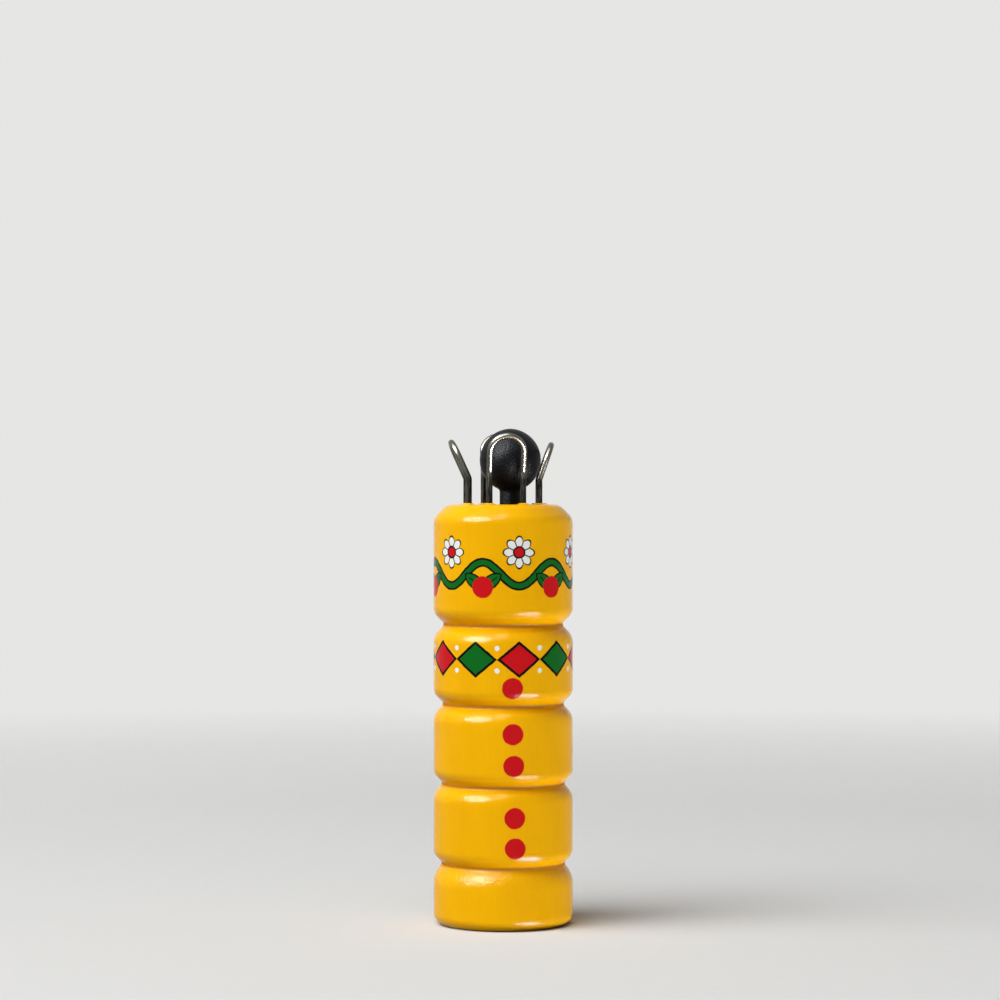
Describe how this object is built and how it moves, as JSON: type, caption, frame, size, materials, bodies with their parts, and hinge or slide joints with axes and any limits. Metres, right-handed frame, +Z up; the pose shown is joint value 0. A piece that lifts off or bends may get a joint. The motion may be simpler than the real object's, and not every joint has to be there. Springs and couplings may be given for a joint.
{
  "type": "wooden knitting dolly",
  "caption": "Turned wooden knitting dolly for making i-cord, with wire hooks round a through bore and a loose ball-knobbed needle standing in it.",
  "frame": {"origin": "centre of the dolly's flat base, on the axis of its bore", "axes": "+Z up the dolly's axis towards the hooks, -Y towards the decorated front, +X to the right as seen from the front"},
  "size_m": [0.03, 0.03, 0.1066],
  "materials": {
    "lacquered_wood": "glossy yellow lacquer with a printed ornament, bare wood in the bore",
    "hook_wire": "drawn steel wire, tarnished on the legs and rubbed brighter on the loops",
    "knob_plastic": "satin black moulded plastic",
    "pin_steel": "polished steel pin"
  },
  "bodies": {
    "dolly": {"body": "lacquered_wood", "hook_front": "hook_wire", "hook_right": "hook_wire", "hook_back": "hook_wire", "hook_left": "hook_wire"},
    "needle": {"needle_handle": "knob_plastic", "needle_shaft": "pin_steel"}
  },
  "joints": [
    {"name": "needle_lift", "type": "slide", "parent": "dolly", "child": "needle", "axis": [0, 0, 1], "range_m": [0, 0.11]}
  ]
}
